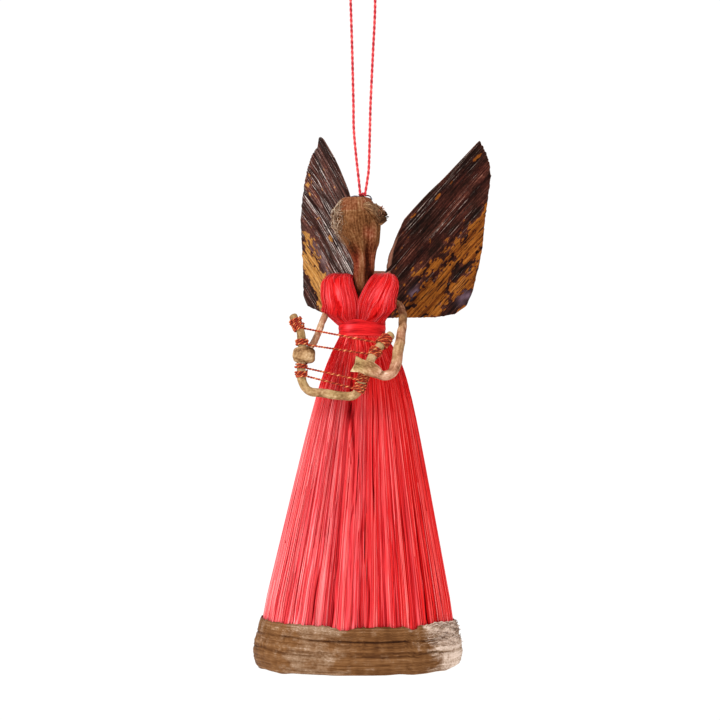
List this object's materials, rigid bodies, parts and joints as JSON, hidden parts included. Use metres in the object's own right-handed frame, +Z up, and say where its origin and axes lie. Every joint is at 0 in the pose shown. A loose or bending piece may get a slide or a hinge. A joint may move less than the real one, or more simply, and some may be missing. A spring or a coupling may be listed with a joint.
{
  "type": "angel ornament",
  "caption": "Hanging angel of red sisal fibre with dark leaf-sheath wings, a brown hem band and a small strung lyre, on a loop of twisted red cord.",
  "frame": {"origin": "inside of the top of the cord loop, where a hook or a twig carries the ornament", "axes": "+Z up along the hanging cord, -Y the way the angel faces, +X the angel's own left"},
  "size_m": [0.0623, 0.0543, 0.2055],
  "materials": {
    "skirt": "dyed sisal fibre, silky",
    "hem_band": "dry leaf sheath, matt with silvery streaks",
    "waist_band": "smooth dyed fibre, satin",
    "shoulder_hank_left": "dyed sisal fibre, silky",
    "shoulder_hank_right": "dyed sisal fibre, silky",
    "head": "natural fibre bundle, matt",
    "hair_roll": "natural fibre bundle, matt",
    "crown_wire": "dull dark wire",
    "lyre_frame": "wire wrapped in pale fibre, satin",
    "lyre_string_1": "red and gold twisted thread",
    "lyre_string_2": "red and gold twisted thread",
    "lyre_string_3": "red and gold twisted thread",
    "lyre_string_4": "red and gold twisted thread",
    "arm_left": "wire wrapped in pale fibre, matt",
    "arm_right": "wire wrapped in pale fibre, matt",
    "wing_left": "dark leaf sheath with ochre patches, satin",
    "wing_right": "dark leaf sheath with silvery grain, satin",
    "hanging_cord": "two-ply twisted cord, matt"
  },
  "bodies": {
    "root": {"skirt": "skirt", "hem_band": "hem_band", "waist_band": "waist_band", "shoulder_hank_left": "shoulder_hank_left", "shoulder_hank_right": "shoulder_hank_right", "head": "head", "hair_roll": "hair_roll", "crown_wire": "crown_wire", "lyre_frame": "lyre_frame", "lyre_string_1": "lyre_string_1", "lyre_string_2": "lyre_string_2", "lyre_string_3": "lyre_string_3", "lyre_string_4": "lyre_string_4", "arm_left": "arm_left", "arm_right": "arm_right", "wing_left": "wing_left", "wing_right": "wing_right", "hanging_cord": "hanging_cord"}
  },
  "joints": []
}
